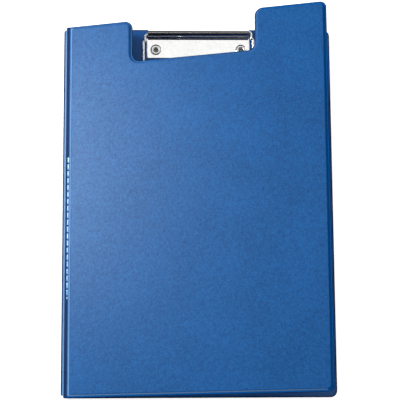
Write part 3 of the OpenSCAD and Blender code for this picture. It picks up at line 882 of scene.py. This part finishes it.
def make_rivets():
    """Hollow rivets: the closed section of the shank, flange, bore and rolled end turned about the axis of
    the rivet. Heights are over the board's face, where the plate lies."""
    top = SHEET_T + 2 * RIM_R
    low = ROLL_Z - PANEL_T
    eye_middle = RIVET_BORE_R + EYE_R
    shank = [(SHANK_R, low + SHANK_LOW), (SHANK_R, SHEET_T - SHANK_SINK)]
    rim = round_of(RIM_MIDDLE, SHEET_T + RIM_R, RIM_R, -90, 90, steps=12)
    flat_top = [(RIM_MIDDLE - TOP_MARGIN, top), (eye_middle + TOP_MARGIN, top)]
    eye = round_of(eye_middle, top - EYE_R, EYE_R, 90, 180, steps=9)
    bore = [(RIVET_BORE_R, height) for height in BORE_POINTS]
    rolled_end = [(radius, low + height) for radius, height in ROLLED_END]
    section = np.array(shank + rim + flat_top + eye + bore + rolled_end)
    turn = np.linspace(0, 2 * math.pi, RIVET_SIDES, endpoint=False)
    rings = np.stack(np.broadcast_arrays(section[:, :1] * np.cos(turn), section[:, :1] * np.sin(turn),
                                         section[:, 1:]), axis=-1)
    number = np.arange(len(section) * RIVET_SIDES).reshape(-1, RIVET_SIDES)
    beside = np.roll(number, -1, axis=1)
    quads = np.stack([number, beside, np.roll(beside, -1, axis=0), np.roll(number, -1, axis=0)], axis=-1)
    for name, side in (("rivet_left", -1), ("rivet_right", 1)):
        place = (CLIP_X + side * RIVET_PITCH / 2, RIVET_Y, PANEL_T)
        rivet = put_mesh(name, rings.reshape(-1, 3) + place, quads.reshape(-1, 4).tolist(), rivet_finish,
                         crisp=50.0)
        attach(rivet, "back")
        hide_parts("hollow_rivets")


make_rivets()


# -------------------------------------------------------------------- studio
# In metres, like the frame.

BLACK = (0.0, 0.0, 0.0, 1.0)
WHITE = (1.0, 1.0, 1.0, 1.0)
# The table's white, the colour of the painted contact shade close under the folder, and the level at which
# the table glows.
TABLE_DARK = (0.86, 0.86, 0.86)
TABLE_LIGHT = (0.88, 0.88, 0.88)
TABLE_SHADE = (0.02, 0.03, 0.05)
TABLE_GLOW = 0.85
TABLE_HALF = 6.0
# The painted contact shade begins where something stands this close over the table.
SHADE_REACH = 0.012
# Light of the surroundings on what isn't mirrored.
AIR_LEVEL = 0.27
# The room that the metal reflects.
ROOM_HALF_W = 4.0
CEILING_Z = 1.60
BACK_WALL_Y = 1.75
FRONT_WALL_Y = -0.45
# The lens and the place and turn of the camera, in millimetres, metres and degrees.
SENSOR_W = 36.0
LENS = 125.06
LENS_SHIFT = 0.1
CAMERA_PLACE = (-0.031559, -0.227491, 1.167918)
CAMERA_TURN = (9.8032, -1.5511, -0.3772)


def outside_painted_shade(tree):
    """Share of the table outside its painted contact shade: 1 in the open, and 0 where something stands close
    over it.
    """
    contact = tree.nodes.new("ShaderNodeAmbientOcclusion")
    contact.inputs["Distance"].default_value = SHADE_REACH
    contact.samples = 6
    return spread(tree, contact.outputs["AO"], 0.0, 1.0, from_low=0.24, from_high=0.50)


def mirrored_or_seen(tree):
    """1 for what the camera sees, straight or in a mirror, and 0 for the light that falls on things."""
    rays = tree.nodes.new("ShaderNodeLightPath")
    mirrored = arithmetic(tree, "MAXIMUM", rays.outputs["Is Glossy Ray"], rays.outputs["Is Transmission Ray"])
    return arithmetic(tree, "MAXIMUM", rays.outputs["Is Camera Ray"], mirrored)


def table_finish():
    """White table that reads as white to the camera and in the metal, takes the lamps' shadow, and is
    darkened to a painted contact shade where something stands close over it.
    """
    material, tree, shader = new_finish("white_table")
    grain = noise(tree, place_nodes(tree), 40.0, detail=4.0)
    tone = blend_colours(tree, spread(tree, grain, 0.0, 1.0), TABLE_DARK, TABLE_LIGHT)
    unshaded = outside_painted_shade(tree)
    # Painted contact shade in the table's colour and glow.
    tree.links.new(blend_colours(tree, unshaded, TABLE_SHADE, tone), shader.inputs["Base Color"])
    shader.inputs["Roughness"].default_value = 0.9
    shader.inputs["Specular IOR Level"].default_value = 0.0
    shader.inputs["Emission Color"].default_value = WHITE
    glow = arithmetic(tree, "MULTIPLY", unshaded, TABLE_GLOW)
    glow = arithmetic(tree, "MULTIPLY", mirrored_or_seen(tree), glow)
    tree.links.new(glow, shader.inputs["Emission Strength"])
    return material


def glow_finish(name, level):
    """Studio card of one grey level."""
    material, _, shader = new_finish(name)
    shader.inputs["Base Color"].default_value = BLACK
    shader.inputs["Specular IOR Level"].default_value = 0.0
    shader.inputs["Emission Color"].default_value = WHITE
    shader.inputs["Emission Strength"].default_value = level
    return material


def stage_card(name, corners, finish):
    """Flat four-cornered card of the studio."""
    mesh = bpy.data.meshes.new(name)
    mesh.from_pydata(corners, [], [(0, 1, 2, 3)])
    mesh.materials.append(finish)
    card = bpy.data.objects.new(name, mesh)
    bpy.context.scene.collection.objects.link(card)
    return card


def reflected_card(name, corners, finish):
    """Card that is only seen in reflections."""
    card = stage_card(name, corners, finish)
    card.visible_camera = False
    card.visible_diffuse = False
    card.visible_transmission = False
    card.visible_shadow = False


def level_card(name, x, y, z, finish):
    """Reflected card that lies level over the table, from x[0] to x[1] and from y[0] to y[1]."""
    reflected_card(name, [(x[0], y[0], z), (x[0], y[1], z), (x[1], y[1], z), (x[1], y[0], z)], finish)


def upright_card(name, x, y, z, finish):
    """Reflected card that stands across the room, from x[0] to x[1] and from z[0] to z[1]."""
    reflected_card(name, [(x[0], y, z[0]), (x[1], y, z[0]), (x[1], y, z[1]), (x[0], y, z[1])], finish)


def area_lamp(name, place, aim, width, height, watts, tint=(1.0, 1.0, 1.0)):
    """Soft rectangular lamp at place that faces aim."""
    lamp = bpy.data.lights.new(name, "AREA")
    lamp.shape = "RECTANGLE"
    lamp.size = width
    lamp.size_y = height
    lamp.energy = watts
    lamp.color = tint
    holder = bpy.data.objects.new(name, lamp)
    bpy.context.scene.collection.objects.link(holder)
    ahead = np.array(aim) - np.array(place)
    ahead = ahead / np.linalg.norm(ahead)
    side = np.cross(ahead, (0.0, 0.0, 1.0))
    side = side / np.linalg.norm(side)
    stand = np.eye(4)
    stand[:3] = np.column_stack([side, np.cross(side, ahead), -ahead, place])
    holder.matrix_world = stand.T.tolist()
    return holder


def white_surroundings():
    """White to the camera and in the metal, and a dimmer grey as light on everything else."""
    world = bpy.data.worlds.new("white_studio")
    bpy.context.scene.world = world
    world.use_nodes = True
    tree = world.node_tree
    tree.nodes.clear()
    mix = tree.nodes.new("ShaderNodeMixShader")
    tree.links.new(mirrored_or_seen(tree), mix.inputs["Fac"])
    for socket, level in ((mix.inputs[1], AIR_LEVEL), (mix.inputs[2], 1.0)):
        light = tree.nodes.new("ShaderNodeBackground")
        light.inputs["Color"].default_value = WHITE
        light.inputs["Strength"].default_value = level
        tree.links.new(light.outputs["Background"], socket)
    output = tree.nodes.new("ShaderNodeOutputWorld")
    tree.links.new(mix.outputs["Shader"], output.inputs["Surface"])


def set_camera():
    """The camera over the folder, a little in front of it, with its lens shifted up."""
    lens = bpy.data.cameras.new("camera")
    lens.sensor_width = SENSOR_W
    lens.lens = LENS
    lens.shift_y = LENS_SHIFT
    camera = bpy.data.objects.new("camera", lens)
    bpy.context.scene.collection.objects.link(camera)
    camera.location = CAMERA_PLACE
    camera.rotation_euler = tuple(math.radians(angle) for angle in CAMERA_TURN)
    bpy.context.scene.camera = camera


stage_card("table", [(-TABLE_HALF, -TABLE_HALF, 0.0), (TABLE_HALF, -TABLE_HALF, 0.0),
                     (TABLE_HALF, TABLE_HALF, 0.0), (-TABLE_HALF, TABLE_HALF, 0.0)], table_finish())
room_w = (-ROOM_HALF_W, ROOM_HALF_W)
dark_card = glow_finish("dark_studio_card", level=0.004)
level_card("ceiling", x=room_w, y=(-9.0, BACK_WALL_Y), z=CEILING_Z, finish=dark_card)
upright_card("back_wall", x=room_w, y=BACK_WALL_Y, z=(0.85, CEILING_Z), finish=dark_card)
upright_card("front_wall", x=room_w, y=FRONT_WALL_Y, z=(-0.01, 0.50),
             finish=glow_finish("grey_studio_card", level=0.12))
level_card("plate_card", x=(-0.10, 0.18), y=(0.533, 0.638), z=1.40,
           finish=glow_finish("white_studio_card", level=1.06))
level_card("overhead_card", x=(-0.14, 0.16), y=(0.27, 0.38), z=1.59,
           finish=glow_finish("soft_overhead_card", level=0.5))
level_card("wire_card", x=(-0.60, -0.15), y=(0.18, 0.46), z=1.50,
           finish=glow_finish("left_studio_card", level=2.2))
level_card("side_card", x=(0.42, 3.5), y=(-1.2, 1.9), z=1.45,
           finish=glow_finish("side_studio_card", level=0.9))

area_lamp("key_lamp", place=(-0.66, 0.22, 0.56), aim=(-0.05, 0.03, 0.02), width=0.36, height=0.22, watts=6.7,
          tint=(0.89, 1.0, 0.97))
top_lamp = area_lamp("top_lamp", place=(0.12, 0.10, 1.35), aim=(0.0, 0.05, 0.0), width=0.90, height=0.70,
                     watts=2.2)
top_lamp.visible_glossy = False

white_surroundings()
bpy.context.scene.view_settings.view_transform = "Standard"
set_camera()
